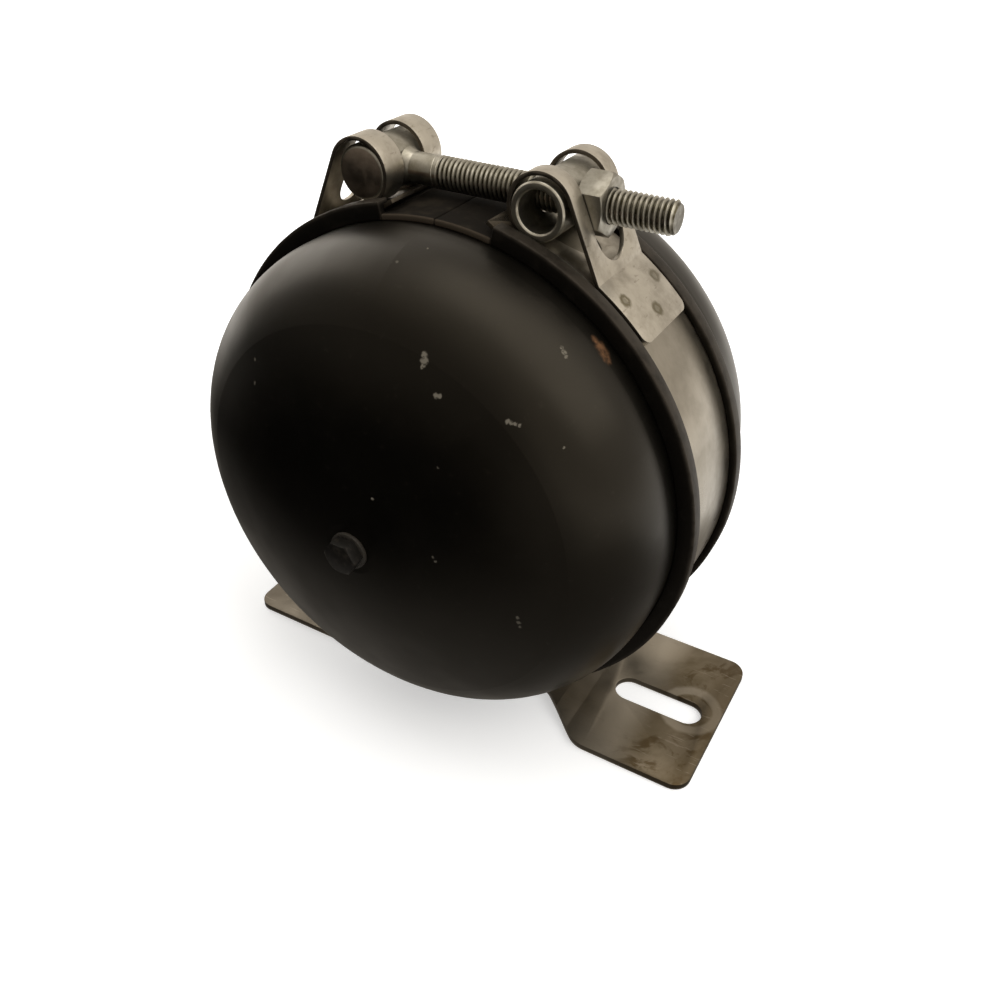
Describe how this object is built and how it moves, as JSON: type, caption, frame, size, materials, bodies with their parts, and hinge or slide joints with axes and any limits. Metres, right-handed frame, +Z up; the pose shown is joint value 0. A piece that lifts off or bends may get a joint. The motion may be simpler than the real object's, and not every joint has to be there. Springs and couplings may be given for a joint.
{
  "type": "hydraulic accumulator",
  "caption": "Diaphragm accumulator: a flattened round steel vessel with a threaded fluid port, held in a rubber-lined band clamp with a tightening bolt, on a slotted mounting bracket.",
  "frame": {"origin": "centre of the two bracket slots, on the underside of the feet", "axes": "+Z up from the mounting plane, X along the slots and the clamp bolt, +Y along the vessel's axis towards the fluid port"},
  "size_m": [0.1551, 0.1436, 0.1556],
  "materials": {
    "vessel_paint": "semi-gloss black paint with small chips",
    "seal_rubber": "black sealing washer",
    "inner_steel": "turned steel",
    "diaphragm_rubber": "moulded nitrile rubber",
    "liner_rubber": "matte black, dusty",
    "band_steel": "satin stainless strip",
    "strap_steel": "satin stainless strip, worn",
    "zinc_plate": "zinc plated, faintly yellow",
    "bracket_steel": "zinc plated, stained brown-grey"
  },
  "bodies": {
    "root": {"gas_shell": "vessel_paint", "fluid_shell": "vessel_paint", "fluid_port": "vessel_paint", "charging_screw": "vessel_paint", "charging_screw_seal": "seal_rubber", "diaphragm_ring": "inner_steel", "closing_button": "inner_steel", "diaphragm": "diaphragm_rubber", "rubber_liner": "liner_rubber", "clamp_band": "band_steel", "left_loop_strap": "strap_steel", "right_loop_strap": "strap_steel", "t_bolt": "zinc_plate", "trunnion_barrel": "zinc_plate", "hex_nut": "zinc_plate", "mounting_bracket": "bracket_steel"}
  },
  "joints": []
}
